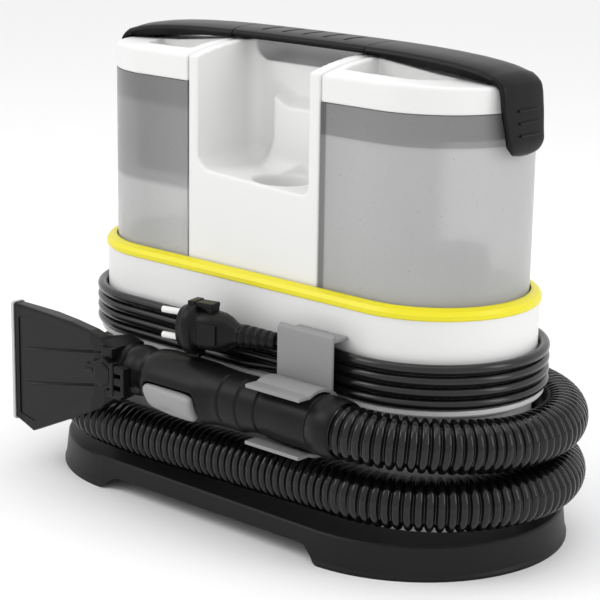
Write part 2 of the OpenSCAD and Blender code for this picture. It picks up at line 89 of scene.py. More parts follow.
# ---------------------------------------------------------------- materials
ROUGH_SPREAD = 0.06      # how far the roughness swings about its level
MOTTLE_SCALE = 14        # the wide noise that varies the colour
GRAIN_DEPTH = 0.0004


def put(node, **values):
    """Set a node's inputs by name, with underscores for the spaces."""
    for key, value in values.items():
        node.inputs[key.replace("_", " ")].default_value = value
    return node


def material(name, base, rough=0.45, metallic=0.0, bump=0.05, scale=900.0, vary=0.04,
             spec=0.5, trans=0.0, ior=1.46):
    """Moulded plastic or metal: mottled colour, with a fine grain in roughness and bump."""
    m = D.materials.new(name)
    m.use_nodes = True
    nt = m.node_tree
    new, link = nt.nodes.new, nt.links.new
    b = put(nt.nodes["Principled BSDF"], Metallic=metallic, Specular_IOR_Level=spec,
            Transmission_Weight=trans, IOR=ior)
    tc = new("ShaderNodeTexCoord")
    fine = put(new("ShaderNodeTexNoise"), Scale=scale, Detail=3)
    wide = put(new("ShaderNodeTexNoise"), Scale=MOTTLE_SCALE, Detail=4)
    for n in (fine, wide):
        link(tc.outputs["Object"], n.inputs["Vector"])
    ramp = new("ShaderNodeMix")
    ramp.data_type = "RGBA"
    put(ramp, A=[c * (1 - vary) for c in base] + [1], B=[min(1, c * (1 + vary)) for c in base] + [1])
    link(wide.outputs["Fac"], ramp.inputs["Factor"])
    link(ramp.outputs["Result"], b.inputs["Base Color"])
    mr = put(new("ShaderNodeMapRange"), To_Min=max(0.02, rough - ROUGH_SPREAD),
             To_Max=min(1, rough + ROUGH_SPREAD))
    link(fine.outputs["Fac"], mr.inputs["Value"])
    link(mr.outputs["Result"], b.inputs["Roughness"])
    bp = put(new("ShaderNodeBump"), Strength=bump, Distance=GRAIN_DEPTH)
    link(fine.outputs["Fac"], bp.inputs["Height"])
    link(bp.outputs["Normal"], b.inputs["Normal"])
    return m


WHITE = material("white_plastic_grain", (0.76, 0.76, 0.755), 0.42, bump=0.10, scale=1400, vary=0.012)
BLACK = material("black_plastic_satin", (0.006, 0.006, 0.0065), 0.34, bump=0.12, scale=1500, vary=0.2,
                 spec=0.17)
BASEM = material("black_plastic_base", (0.009, 0.009, 0.0095), 0.42, bump=0.16, scale=1200, vary=0.2,
                 spec=0.2)
YELLOW = material("yellow_trim_plastic", (0.76, 0.68, 0.008), 0.34, bump=0.05, scale=1300, vary=0.02)
GREY = material("grey_plastic", (0.235, 0.235, 0.24), 0.42, bump=0.10, scale=1400, vary=0.03)
LGREY = material("grey_button_plastic", (0.27, 0.27, 0.275), 0.42, bump=0.08, scale=1400, vary=0.03)
HOSE = material("hose_black_gloss", (0.003, 0.003, 0.0035), 0.13, bump=0.06, scale=700, vary=0.2,
                spec=0.42)
LIPM = material("lip_light_grey", (0.50, 0.50, 0.50), 0.40, bump=0.05, scale=900, vary=0.03)
CORD = material("cord_black_pvc", (0.007, 0.007, 0.007), 0.22, bump=0.05, scale=1600, vary=0.2)
RUBBER = material("rubber_black", (0.018, 0.018, 0.019), 0.62, bump=0.2, scale=900, vary=0.2)
STEEL = material("steel_brushed", (0.62, 0.62, 0.64), 0.30, metallic=1.0, bump=0.08, scale=600)
PINW = material("plug_pin_grey", (0.75, 0.75, 0.74), 0.30, bump=0.02, scale=900, vary=0.02)
COPPER = material("winding_copper", (0.50, 0.20, 0.07), 0.35, metallic=0.8, bump=0.4, scale=500)
FLOAT = material("float_orange_plastic", (0.75, 0.22, 0.05), 0.45, bump=0.08, scale=900)
HOLLOW = material("grey_inner_plastic", (0.20, 0.20, 0.205), 0.5, bump=0.08, scale=900, vary=0.05)
TUBEM = material("clear_tube_pvc", (0.7, 0.7, 0.7), 0.3, bump=0.03, scale=900)


def ramp_node(nt, coord, axis, stops):
    """Grey levels along one axis of the part, given as (place in metres, level)."""
    sep = nt.nodes.new("ShaderNodeSeparateXYZ")
    nt.links.new(coord, sep.inputs["Vector"])
    lo, hi = stops[0][0], stops[-1][0]
    mr = put(nt.nodes.new("ShaderNodeMapRange"), From_Min=lo, From_Max=hi)
    nt.links.new(sep.outputs[axis], mr.inputs["Value"])
    cr = nt.nodes.new("ShaderNodeValToRGB")
    while len(cr.color_ramp.elements) < len(stops):
        cr.color_ramp.elements.new(0.5)
    for el, (at, g) in zip(cr.color_ramp.elements, stops):
        el.position = (at - lo) / (hi - lo)
        el.color = (g, g, g, 1)
    nt.links.new(mr.outputs["Result"], cr.inputs["Fac"])
    return cr.outputs["Color"]


def smoked_painted_shade(name, zs, xs):
    """Frosted smoked plastic, its colour multiplied by grey ramps up and along the tank: painted light and
    shade, darkest in the band under the lid, which also stands for the seal inside.
    """
    m = material(name, (0.9, 0.9, 0.9), 0.30, bump=0.03, scale=1200, vary=0.02, trans=0.62, ior=1.2)
    nt = m.node_tree
    tc = [n for n in nt.nodes if n.type == "TEX_COORD"][0]
    mul = nt.nodes.new("ShaderNodeMix")
    mul.data_type, mul.blend_type = "RGBA", "MULTIPLY"
    put(mul, Factor=1)
    nt.links.new(ramp_node(nt, tc.outputs["Object"], "Z", zs), mul.inputs["A"])
    nt.links.new(ramp_node(nt, tc.outputs["Object"], "X", xs), mul.inputs["B"])
    nt.links.new(mul.outputs["Result"], nt.nodes["Principled BSDF"].inputs["Base Color"])
    return m


# right tank: painted shade, darker in the band under the lid, in a strip by the column, at the bottom and at
# the far round end
SMOKE = smoked_painted_shade("tank_smoked_painted_shade_right",
               [(.17, .74), (.20, .82), (.289, .84), (.2915, .80), (.2925, .52), (.33, .50)],
               [(.06, .50), (.0702, .52), (.0712, .95), (.10, 1.0), (.15, .97), (.20, .86)])
# left tank: painted shade, darker in the band under the lid and across the middle of its length; lighter below
# 236 mm
SMOKE_L = smoked_painted_shade("tank_smoked_painted_shade_left",
                 [(.17, .84), (.232, .82), (.236, .56), (.291, .56), (.2955, .47), (.33, .44)],
                 [(-.20, 1.0), (-.17, 1.0), (-.145, .92), (-.11, .86), (-.074, .98), (-.06, 1.0)])

LOOKS = {"white_plastic": WHITE, "black_plastic": BLACK, "yellow_plastic": YELLOW,
         "grey_plastic": GREY, "smoke_plastic": SMOKE, "steel": STEEL, "black_rubber": RUBBER,
         "cord_black": CORD, "copper_winding": COPPER, "float_orange": FLOAT,
         "clear_tube": TUBEM}
ONE = {"dirty_shell": SMOKE_L, "base_plate": BASEM, "spray_button": LGREY, "plug_pins": PINW,
       "hose": HOSE, "dirty_separator": HOLLOW, "dirty_pipe": HOLLOW, "fresh_strainer": HOLLOW}


# ---------------------------------------------------------------- mesh helpers
def mesh(name, verts, faces, mat, body="machine", slot="black_plastic", smooth=True, mods=()):
    """A finished piece in metres with its material, riding on its body; the slot argument is not used."""
    me = D.meshes.new(name)
    me.from_pydata([tuple(v) for v in verts], [], faces)
    me.validate()
    bm = bmesh.new()
    bm.from_mesh(me)
    bmesh.ops.remove_doubles(bm, verts=bm.verts, dist=1e-6)
    bmesh.ops.recalc_face_normals(bm, faces=bm.faces)
    bm.to_mesh(me)
    bm.free()
    o = D.objects.new(name, me)
    SC.collection.objects.link(o)
    me.materials.append(mat)
    if smooth:
        for p in me.polygons:
            p.use_smooth = True
    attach(o, body)
    for m in mods:
        m(o)
    return o


def even_normals(o):
    o.modifiers.new("wn", "WEIGHTED_NORMAL").keep_sharp = True


def bevel(w, seg):
    def f(o):
        m = o.modifiers.new("bevel", "BEVEL")
        m.width, m.segments = w, seg
        m.limit_method, m.angle_limit = "ANGLE", rad(30)
        m.harden_normals = False
        even_normals(o)
    return f


def skin(rows):
    """A closed skin: quads from each ring of points to the next, and a cap on both ends."""
    n, m = len(rows), len(rows[0])
    f = []
    for i in range(n - 1):
        a, b = i * m, (i + 1) * m
        for j in range(m):
            k = (j + 1) % m
            f.append((a + j, a + k, b + k, b + j))
    f.append(tuple(range(m - 1, -1, -1)))
    f.append(tuple((n - 1) * m + j for j in range(m)))
    return [p for r in rows for p in r], f


def ring(c, r, u, w, n):
    """A circle of n points about c in the plane of u and w."""
    return [c + r * (math.cos(2 * math.pi * j / n) * u + math.sin(2 * math.pi * j / n) * w)
            for j in range(n)]


def join(*parts):
    v, f = [], []
    for a, b in parts:
        k = len(v)
        v += list(a)
        f += [tuple(i + k for i in q) for q in b]
    return v, f


def catmull(p, step):
    """Points about step apart on a smooth curve through p."""
    p = [Vector(q) for q in p]
    e = [2 * p[0] - p[1]] + p + [2 * p[-1] - p[-2]]
    out = []
    for i in range(1, len(e) - 2):
        a, b, c, d = e[i - 1:i + 3]
        for k in range(16):
            t = k / 16
            out.append(0.5 * (2 * b + (c - a) * t + (2 * a - 5 * b + 4 * c - d) * t * t
                              + (3 * b - a - 3 * c + d) * t ** 3))
    out.append(p[-1])
    L = [0]
    for a, b in zip(out, out[1:]):
        L.append(L[-1] + (b - a).length)
    n = max(2, round(L[-1] / step))
    res, j = [], 0
    for i in range(n + 1):
        s = L[-1] * i / n
        while j < len(L) - 2 and L[j + 1] < s:
            j += 1
        t = (s - L[j]) / max(1e-12, L[j + 1] - L[j])
        res.append(out[j].lerp(out[j + 1], min(1, max(0, t))))
    return res, L[-1]


def frames(p):
    """A level-held frame at each point of a route that never runs straight up."""
    out = []
    for i, c in enumerate(p):
        t = (p[min(i + 1, len(p) - 1)] - p[max(i - 1, 0)]).normalized()
        u = t.cross(UP).normalized()
        out.append((c, u, u.cross(t)))
    return out


def swept(p, radii, n):
    return [ring(c, r, u, w, n) for (c, u, w), r in zip(frames(p), radii)]


def turned(prof, c, ax=(1, 0, 0), n=48):
    """Profile of (distance along ax, radius) turned about the axis through c."""
    ax, c = Vector(ax), Vector(c)
    u = ax.cross(UP)
    return skin([ring(c + ax * x, r, u, u.cross(ax), n) for x, r in prof])


def round_poly(pts, rr, k=5):
    """A closed outline with each corner rounded by its own radius."""
    out, n = [], len(pts)
    for i in range(n):
        a, b, c = Vector(pts[i - 1]), Vector(pts[i]), Vector(pts[(i + 1) % n])
        r = rr[i] if isinstance(rr, (list, tuple)) else rr
        u, v = (a - b), (c - b)
        d = min(r, u.length * 0.49, v.length * 0.49)
        u, v = b + u.normalized() * d, b + v.normalized() * d
        for j in range(k + 1):
            t = j / k
            out.append((1 - t) ** 2 * u + 2 * t * (1 - t) * b + t * t * v)
    return out


# ---------------------------------------------------------------- power cord
CR = 0.0795         # radius of the cord's turns round the ends
CORD_D = 0.0076
TURN_RISE = 0.0081  # from one turn to the next
GLAND = (.038, -.0715, .119)


def arc(side, r, a):
    """Point at a degrees on the round end at that side of the waist."""
    return side * HS + r * math.cos(rad(a)), r * math.sin(rad(a))


def cord_route():
    p = [GLAND, (.030, -.073, .119), (.022, -.0756, .119), (.014, -.078, .119), (.006, -.0792, .119)]
    for k in range(4):
        z = GLAND[2] + TURN_RISE * k
        p += [(x / 1000, -CR, z) for x in range(-10, -116, -15)]
        p += [(*arc(-1, CR, a), z) for a in range(270, 89, -10)]
        p += [(x / 1000, CR, z) for x in range(-100, 110, 20)]
        p += [(*arc(1, CR, a), z) for a in range(90, -91, -10)]
        if k < 3:
            p += [(x / 1000, -CR, z + TURN_RISE * sm(0.110, 0.044, x / 1000))
                  for x in (110, 99, 88, 77, 66, 55, 44, 30, 15, 4)]
    p += [(.104, -.0798, .1436), (.092, -.0813, .145), (.079, -.084, .1464), (.066, -.0866, .1462),
          (.057, -.088, .1455), (.049, -.0894, .145)]
    return p


cp, cord_len = catmull(cord_route(), 0.006)
cu = D.curves.new("power_cord", "CURVE")
cu.dimensions = "3D"
sp = cu.splines.new("POLY")
sp.points.add(len(cp) - 1)
for q, c in zip(sp.points, cp):
    q.co = (*c, 1)
sp.use_smooth = True
cu.bevel_depth = CORD_D / 2
cu.bevel_resolution = 5
cord = D.objects.new("power_cord", cu)
SC.collection.objects.link(cord)
cu.materials.append(CORD)
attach(cord, "machine")
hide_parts("cord_coil", "cord_tail", "cord_lead")

# ---------------------------------------------------------------- plug on the cord's end
LEAN = rad(12)
PA = Vector((-math.cos(LEAN), -math.sin(LEAN), 0))   # from the cord towards the pins
PU = PA.cross(UP).normalized()
PO = Vector((0.050, -0.0892, 0.145))
PM = Matrix((PA, PU, UP)).transposed()


def plug_ring(x, hz, hy, e, n=40):
    pts = [superellipse(2 * math.pi * j / n, e) for j in range(n)]
    return [PO + PA * x + UP * hz * s + PU * hy * c for c, s in pts]


# distance along the plug, half height, half depth and squareness: the ribbed bend relief first
sec = []
for i in range(5):
    x, r = 0.001 + i * 0.0062, .0054 + i * .0004
    sec += [(x + d, r + h, r + h, .9) for d, h in ((0, 0), (.0006, .001), (.0042, .0011), (.0048, 0))]
sec += [(.0330, .0076, .0074, .9), (.0365, .0086, .0080, .85), (.041, .0116, .0098, .8),
        (.047, .0137, .0118, .75), (.054, .0144, .0126, .72), (.0625, .0142, .0128, .72),
        (.0650, .0138, .0126, .8), (.0654, .0188, .0160, .92), (.0664, .0197, .0168, .95),
        (.0728, .0197, .0168, .95), (.0738, .0190, .0160, .95), (.0743, .0158, .0136, .9),
        (.0790, .0156, .0134, .9), (.0798, .0144, .0120, .9)]
plug = mesh("plug_moulded_body", *skin([plug_ring(*q) for q in sec]), BLACK)
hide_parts("plug_body")


def box_mesh(c, dims, turn=None):
    c = Vector(c)
    v = []
    for sx in (-1, 1):
        for sy in (-1, 1):
            for sz in (-1, 1):
                q = Vector((sx * dims[0] / 2, sy * dims[1] / 2, sz * dims[2] / 2))
                v.append(c + (turn @ q if turn else q))
    f = [(0, 1, 3, 2), (4, 6, 7, 5), (0, 4, 5, 1), (2, 3, 7, 6), (0, 2, 6, 4), (1, 5, 7, 3)]
    return v, f


hook = mesh("plug_hanging_clip", *join(
    box_mesh(PO + PA * .0620 + UP * .0186, (.019, .011, .0036), PM),
    box_mesh(PO + PA * .0700 + UP * .0185, (.0060, .013, .0050), PM),
    box_mesh(PO + PA * .0545 + UP * .0165, (.0035, .010, .006), PM),
    box_mesh(PO + PA * .0530 - PU * .0122, (.016, .0024, .015), PM),
    box_mesh(PO + PA * .0690 - UP * .0190, (.009, .010, .0040), PM)),
    BLACK, smooth=False, mods=(bevel(.0007, 2),))

# ---------------------------------------------------------------- suction hose
HT = 0.094       # radius of the hose's turns round the ends
PORT_Z = 46.5    # height of the hose port, millimetres
RIB_PITCH = 0.0066
# one rib: place within the pitch and radius
RIB = [(0.0, .0156), (.10, .0173), (.20, .0184), (.36, .0188), (.54, .0188), (.70, .0184),
       (.80, .0173), (.90, .0156)]


def hose_route():
    """From the hand tool once and a half round the waist, down at the left and back to the port."""
    long_side = (105, 60, 15, -30, -75)
    p = [(.113, TY, TZ)]
    for i, r in enumerate([105, 104.7, 103.6, 101.8, 99.6, 97.4, 95.6, 94.6]):
        p.append((*arc(1, r / 1000, -87 + i * 10), (101.2 - i * 1.2) / 1000))
    p += [(*arc(1, HT, a), .0924) for a in range(-5, 91, 15)]
    p += [(x / 1000, HT, .0922) for x in long_side]
    p += [(*arc(-1, HT, a), (92 - 43 * sm(90, 270, a)) / 1000) for a in range(90, 271, 15)]
    p += [(x / 1000, -HT, (50.4 + x / 35) / 1000) for x in reversed(long_side)]
    p += [(*arc(1, HT, a), (53.6 - (a + 80) * .015) / 1000) for a in range(-80, 81, 16)]
    p += [(x / 1000, HT, (PORT_Z + max(0, x + 20) * .034) / 1000) for x in long_side]
    return p


line, hose_len = catmull(hose_route(), RIB_PITCH / 8)
ribs_in = int(hose_len / RIB_PITCH)
seg = hose_len / ribs_in
cum = [0]
for a, b in zip(line, line[1:]):
    cum.append(cum[-1] + (b - a).length)
centres, radii = [], []
j = 0
for i in range(ribs_in):
    for t, r in RIB:
        s = (i + t) * seg
        while j < len(cum) - 2 and cum[j + 1] < s:
            j += 1
        centres.append(line[j].lerp(line[j + 1], (s - cum[j]) / (cum[j + 1] - cum[j])))
        radii.append(r)
hose = mesh("suction_hose_corrugated", *skin(swept(centres, radii, 32)), HOSE, slot="cord_black")
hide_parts("hose")

# ---------------------------------------------------------------- shaping solids (millimetres)
def scaled(vf):
    """Millimetres to metres."""
    return [Vector(p) / 1000 for p in vf[0]], vf[1]


def interp(pts, x):
    """Straight-line interpolation through (place, value) pairs."""
    for (a, p), (b, q) in zip(pts, pts[1:]):
        if x <= b:
            return p + (q - p) * max(0, x - a) / (b - a)
    return pts[-1][1]


def soft_min(a, b, k):
    """The lesser of a and b, blended where they are closer than k."""
    h = min(1, max(0, 0.5 + 0.5 * (b - a) / k))
    return b * (1 - h) + a * h - k * h * (1 - h)


def raw(v, f):
    """A throwaway object for carving."""
    me = D.meshes.new("temporary")
    me.from_pydata([tuple(p) for p in v], [], f)
    bm = bmesh.new()
    bm.from_mesh(me)
    bmesh.ops.recalc_face_normals(bm, faces=bm.faces)
    bm.to_mesh(me)
    bm.free()
    o = D.objects.new("temporary", me)
    SC.collection.objects.link(o)
    return o


def carve(base, cutters, voxel=0.0, soften=0):
    """The base with solids taken out, remeshed and softened if a voxel size is given."""
    b = raw(*base)
    tools = [raw(*c) for c in cutters]
    for o in tools:
        m = b.modifiers.new("cut", "BOOLEAN")
        m.operation, m.object, m.solver = "DIFFERENCE", o, "EXACT"
    if voxel:
        m = b.modifiers.new("remesh", "REMESH")
        m.mode, m.voxel_size = "VOXEL", voxel
        m = b.modifiers.new("soften", "SMOOTH")
        m.factor, m.iterations = 0.5, soften
    me = D.meshes.new_from_object(b.evaluated_get(bpy.context.evaluated_depsgraph_get()))
    out = [v.co.copy() for v in me.vertices], [tuple(p.vertices) for p in me.polygons]
    for o in [b] + tools:
        D.objects.remove(o)
    return out


def mirrored(vf):
    return [Vector((-p[0], p[1], p[2])) for p in vf[0]], vf[1]


def crown(y):
    """Height of the column's and the lids' top, which falls to the front and back."""
    return 341.8 - 8.6 * (abs(y) / 67) ** 2.2


# ---------------------------------------------------------------- column with its recess
LEFT, RIGHT, BACK, FLOOR_Z = -55, 54.5, -6, 249   # the recess's walls and floor


def recess_row(z):
    """The recess's outline at height z, open to the front, with a bulge low on its back wall."""
    def inset(r):
        d = min(r, max(0, FLOOR_Z + r - z))
        return r - math.sqrt(max(0, r * r - d * d))
    il, ir, ib = inset(12), inset(8), inset(12)
    xl, xr = LEFT + il, RIGHT - ir
    row = [(xl, y) for y in (-80, -60, -40, -28)]
    for i in range(97):
        t = i / 96
        x = xl + (xr - xl) * (0.5 - 0.5 * math.cos(math.pi * t)) if i % 96 else (xl if i == 0 else xr)
        s = 9 * (1 - sm(250, 274, z))
        bulge = sm(-37 - s, -21 - s / 2, x)
        seam = 296.5 + 6 * (1 - sm(-26, -8, x))
        top = 1 if z < seam else max(0, 1 - (z - seam) / 12) ** 2
        y = BACK - 0.8 * ib - 14 * bulge * top
        for d, r in ((x - xl, 10), (xr - x, 6)):
            if d < r:
                y -= r - math.sqrt(max(0, r * r - (r - d) ** 2))
        row.append((x, y))
    row += [(xr, y) for y in (-30, -40, -60, -80)]
    tilt = 0.05 * (1 - sm(252, 275, z))
    return [Vector((x, y, z - tilt * x)) for x, y in row]


levels = [249, 249.5, 250, 251, 252, 253.5, 255, 257, 259, 262, 265, 269, 273, 278, 283, 288] + \
    span(291, 315, 24) + [320, 326, 334, 345, 360]
recess = skin([recess_row(z) for z in levels])

# the hand scoop under the grip, as a (y, z) line that closes far above the column
scoop_line = [(-14, 331.5), (-11.5, 328.9), (-8, 327.2), (-3, 326.2), (3, 326.4), (9, 328.2), (15, 331.2),
              (20, 334.4), (24, 338.2), (26, 342), (26, 360), (-14, 360)]
rows = []
for x in [-52, -51.4, -50, -48, -45, -42, -38, -20, 0, 20, 40, 48, 51, 52.5, 53]:
    d = min(x + 52, 53 - x)
    lift = 10 - math.sqrt(max(0, 100 - (10 - min(10, d)) ** 2))
    rows.append([Vector((x, min(y, 26 - 0.6 * lift), z + lift if z < 350 else z)) for y, z in scoop_line])
scoop = skin(rows)

rows = []
for y in span(-67, 67, 40):
    t = crown(y)
    rows.append([Vector((x, y, z)) for x, z in (
        (-64.7, 178.6), (64.7, 178.6), (64.7, t - 1.2), (63.6, t), (30, t), (0, t), (-30, t), (-63.6, t),
        (-64.7, t - 1.2))])
block = skin(rows)
# height and radius of the cup in the recess's floor
cup = skin([ring(Vector((7, -42, z)), r, Vector((1, 0, 0)), Vector((0, 1, 0)), 64) for z, r in (
    (221, 17.5), (222, 19.3), (224, 20.2), (244, 20.4), (247.2, 20.6), (248.4, 21.4), (256, 21.5))])
column = mesh("column_skin", *scaled(carve(block, [recess, scoop, cup], voxel=1.25, soften=3)), WHITE,
              slot="white_plastic")
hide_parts("column_shell", "recess_tray")

# ---------------------------------------------------------------- tank lids
LID_SLOPE = [(65, 342.5), (80, 340), (100, 337.6), (125, 334.8), (150, 333.2), (183, 331.9)]


def lid_top(x, y):
    return soft_min(crown(y), interp(LID_SLOPE, x), 2)


def plan(i):
    """The tank's outline inset by i, straight by the column and round at the far end."""
    x0, r = 65.9 + i, 67 - i
    out = [(x0, y) for y in span(r, -r, 22)[:-1]]
    out += [(x, -r) for x in span(x0, max(x0, 116), 10)[:-1]]
    out += [(max(x0, 116) + r * math.sin(a), -r * math.cos(a)) for a in span(0, math.pi, 48)[:-1]]
    out += [(x, r) for x in span(max(x0, 116), x0, 10)[:-1]]
    return out


rows = [[Vector((x, y, 314)) for x, y in plan(0.6)], [Vector((x, y, 314.6)) for x, y in plan(0)]]
edge = [(0, 2.6), (0.3, 1.3), (0.9, 0.5), (1.9, 0.1)]    # inset and drop round the top's edge
for i, d in edge + [(i, 0) for i in (3.2, 6, 9, 13, 18, 24, 31, 39, 47)]:
    rows.append([Vector((x, y, lid_top(x, y) - d)) for x, y in plan(i)])
lid_block = skin(rows)
# the finger pocket's corners and how much each is rounded
POCKET = [(74.5, -16.5), (74.5, -53.5), (96, -54.6), (110, -54), (121, -51), (131, -44), (139, -33),
          (144, -16.5)]
POCKET_R = [1.5, 3, 6, 5, 6, 6, 6, 2]
PIN_X, PIN_Z, EAR_Y = 69.5, 345.95, 9    # hinge pins of the handle's arms, and the ears that hold them


def pocket(side):
    outline = round_poly([(x, y, 0) for x, y in POCKET], POCKET_R)
    return skin([[Vector((p.x, p.y * side, z)) for p in outline] for z in (321, 350)])


ears = [box_mesh((PIN_X, s * EAR_Y, 341), (4.4, 4, 10)) for s in (-1, 1)] + \
    [turned([(-2, 3.0), (2, 3.0)], (PIN_X, s * EAR_Y, PIN_Z), ax=(0, 1, 0), n=24) for s in (-1, 1)]
lid_vf = carve(lid_block, [pocket(1), pocket(-1)], voxel=0.85, soften=3)
for name, flip, body, old in (("fresh_lid_skin", False, "fresh_tank", "fresh_lid"),
                              ("dirty_lid_skin", True, "dirty_tank", "dirty_lid")):
    vf = join(lid_vf, *ears)
    lid = mesh(name, *scaled(mirrored(vf) if flip else vf), WHITE, body=body, slot="white_plastic")
    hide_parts(old)

# ---------------------------------------------------------------- handle: grip and the tanks' arms
BAR_TOP = 350.35
HALF_W = 22.3       # half the bar's width
TOP_STEPS = 24      # steps across its crowned top
# distance from the middle and how far the top has dropped
DROP = [(0, 0), (30, .05), (50, .16), (78, .5), (98, 1.0), (121, 2.0), (140, 3.3), (156, 5.0), (166, 6.6),
        (173.5, 8.6), (178, 10.2)]


def bar_top(x):
    return BAR_TOP - interp(DROP, abs(x))


def section(w, cd, lip, skirt, step=2.6):
    """Closed outline of the bar as (across, height from the top): crowned top, lipped sides."""
    top = [(t * (w - 1.6), -cd * abs(t) ** 3) for t in span(-1, 1, TOP_STEPS)]
    right_side = [(w - 1.0, -cd - 0.7), (w, -lip + 0.5), (w - 0.2, -lip), (w - step, -lip - 0.4),
                  (w - step, -skirt)]
    left_side = [(-a, b) for a, b in reversed(right_side)]
    under = [(a, -skirt) for a in span(w - step, -(w - step), 8)[1:-1]]
    return top + right_side + under + left_side


def groove(x, y):
    """Depth of the five slanted finger grooves across the grip."""
    g = 0
    for k in range(-2, 3):
        u = abs(x - 20 * k - 0.10 * y)
        if u < 1.6 and abs(y + 3) < 11:
            g = max(g, (1 - (u / 1.6) ** 2) * min(1, (11 - abs(y + 3)) / 2))
    return 1.3 * g


def socket(z, r):
    """Where a round seam of radius r about the pin stands at height z."""
    return PIN_X - math.sqrt(max(0, r * r - (z - PIN_Z) ** 2))


rows = []
stations = span(0, 64, 160)
for x in [-v for v in reversed(stations[1:])] + stations:
    row = []
    for k, (y, dz) in enumerate(section(HALF_W, 2.2, 5.1, 7.3)):
        z = bar_top(x) + dz - (groove(x, y) if k <= TOP_STEPS else 0)
        xx = x
        if abs(x) > 60:
            xx = math.copysign(60 + (abs(x) - 60) / 4 * (socket(z, 5.1) - 60), x)
        row.append(Vector((xx, y, z)))
    rows.append(row)
posts = [box_mesh((s * 59.8, 0, 340.5), (7, 28, 6)) for s in (-1, 1)]
grip = mesh("grip_crowned", *scaled(join(skin(rows), *posts)), BLACK)
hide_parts("grip_bar")


def arm_rows():
    """Sections along an arm: out over the lid, round the corner and down the tongue."""
    # place and height of the outer face, and its lean in degrees from level
    st = [(x, bar_top(x), None) for x in [65, 66, 67, 68, 69.5, 71, 73, 76] + span(80, 176, 32)]
    st += [(179, 339.9, 38), (181.6, 338.0, 42), (183.8, 336.2, 46), (185.6, 334.2, 52), (186.4, 333.1, 62),
           (187.3, 330.8, 74), (188.2, 327, 80), (188.8, 322, 86)]
    st += [(189.1 + 0.15 * (318 - z), z, 96) for z in span(318, 296, 11)]
    st += [(192.5, 294, 98), (192.3, 292, 99), (191.9, 290, 101), (191.3, 288, 104), (190.6, 286.8, 110),
           (189.8, 285.8, 120), (188.9, 285.2, 138)]
    rows = []
    for x, z, lean in st:
        down = rad(lean) if lean is not None else math.atan2(bar_top(x - 1) - bar_top(x + 1), 2)
        nx, nz = math.sin(down), math.cos(down)
        t = sm(172, 188, x) if z > 320 else 1         # 0 on the bar, 1 on the tongue
        w = HALF_W - 2.2 * sm(318, 296, z) if z > 297 else 8.1 + math.sqrt(max(0, 144 - (297 - z) ** 2))
        skirt = interp([(66, 7.9), (80, 8.2), (98, 8.6), (125, 9.8), (160, 10), (172, 9)], x)
        skirt = skirt * (1 - t) + 4.6 * t
        if t == 1 and z <= 292:
            skirt *= max(0.25, (z - 284) / 8)         # the tongue's tip thins out
        row = []
        for y, d in section(w, 2.2 * (1 - t) + 0.9 * t, 5.1 * (1 - t) + 2.4 * t, skirt,
                            2.6 * (1 - t) + 0.5 * t):
            d = max(d, -skirt) if t == 1 else d
            px, pz = x + nx * d, z + nz * d
            if x < 80:
                px, pz = x, z + d
            if x < PIN_X:
                pz = max(pz, PIN_Z - 4.0)
                seam = socket(pz, 4.7 if pz > 346 else 4.1 + 0.6 * max(0, pz - 344) / 2)
                px = seam + (x - 65) / 4.5 * (PIN_X - seam)
            row.append(Vector((px, y, pz)))
        rows.append(row)
    return rows


# room for the lid's ears, and for them to pass as the arm swings up
arm_cut = [box_mesh((PIN_X, s * EAR_Y, (336 + PIN_Z) / 2), (6.8, 5.2, PIN_Z - 336)) for s in (-1, 1)] + \
    [box_mesh((66, s * EAR_Y, 341.5), (7, 5.2, 11)) for s in (-1, 1)] + \
    [turned([(-2.6, 3.4), (2.6, 3.4)], (PIN_X, s * EAR_Y, PIN_Z), ax=(0, 1, 0), n=32) for s in (-1, 1)]
arm_vf = carve(skin(arm_rows()), arm_cut)
ridges = join(*[box_mesh((189.5 + 0.15 * (318 - z), 2, z), (1.8, 22, 1.7)) for z in (316, 307.8, 299.6)])
for side, flip in (("fresh", False), ("dirty", True)):
    vf = mirrored(arm_vf) if flip else arm_vf
    arm = mesh(side + "_arm_skin", *scaled(vf), BLACK, body=side + "_handle", mods=(even_normals,))
    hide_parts(side + "_arm")
    vf = mirrored(ridges) if flip else ridges
    mesh(side + "_arm_ridges", *scaled(vf), BLACK, body=side + "_handle", mods=(bevel(.0006, 3),))

# ---------------------------------------------------------------- hand tool
# place and radius along the tool
TOOL = [(-80, 16.4), (-79.4, 17.6), (-77, 18.9), (-73, 19.3), (-69, 19.0), (-65.5, 17.9), (-62, 17.3),
        (-60, 17.5), (-57, 18.8), (-53, 20.4), (-46, 21.2), (-30, 21.3), (-8, 21.0), (0, 20.6), (8, 19.6),
        (16, 19.2), (24, 19.1), (40, 19.1), (56, 19.1), (64, 19.2), (72, 19.7), (82, 20.4), (92, 20.6),
        (108, 20.7)]
AXIS = Vector((0, TY * 1000, TZ * 1000))
TRIG = rad(27)          # the trigger faces forward and down by this much
TX = -24                # and its middle stands here
TD = Vector((0, -math.cos(TRIG), -math.sin(TRIG)))
TU = Vector((0, -math.sin(TRIG), math.cos(TRIG)))
SEAT_X, SEAT_W, SEAT_R = 26.2, 12.2, 5    # half sizes and corner radius of the trigger's seat
SEAT_RIM, SEAT_DEPTH = 1.6, 7.6
BELLY, BELLY_AT = 3.4, 1.25               # fullness of the tool's underside, and its angle
GROOVES, GROOVE_W, GROOVE_DEPTH = (23, 41, 59), 1.4, 1.1


def trigger_distance(x, a):
    """Distance from the trigger's rounded outline, along the body's skin; below zero inside it."""
    dx, ds = abs(x - TX) - SEAT_X + SEAT_R, abs(21.2 * a) - SEAT_W + SEAT_R
    return math.hypot(max(dx, 0), max(ds, 0)) + min(max(dx, ds), 0) - SEAT_R


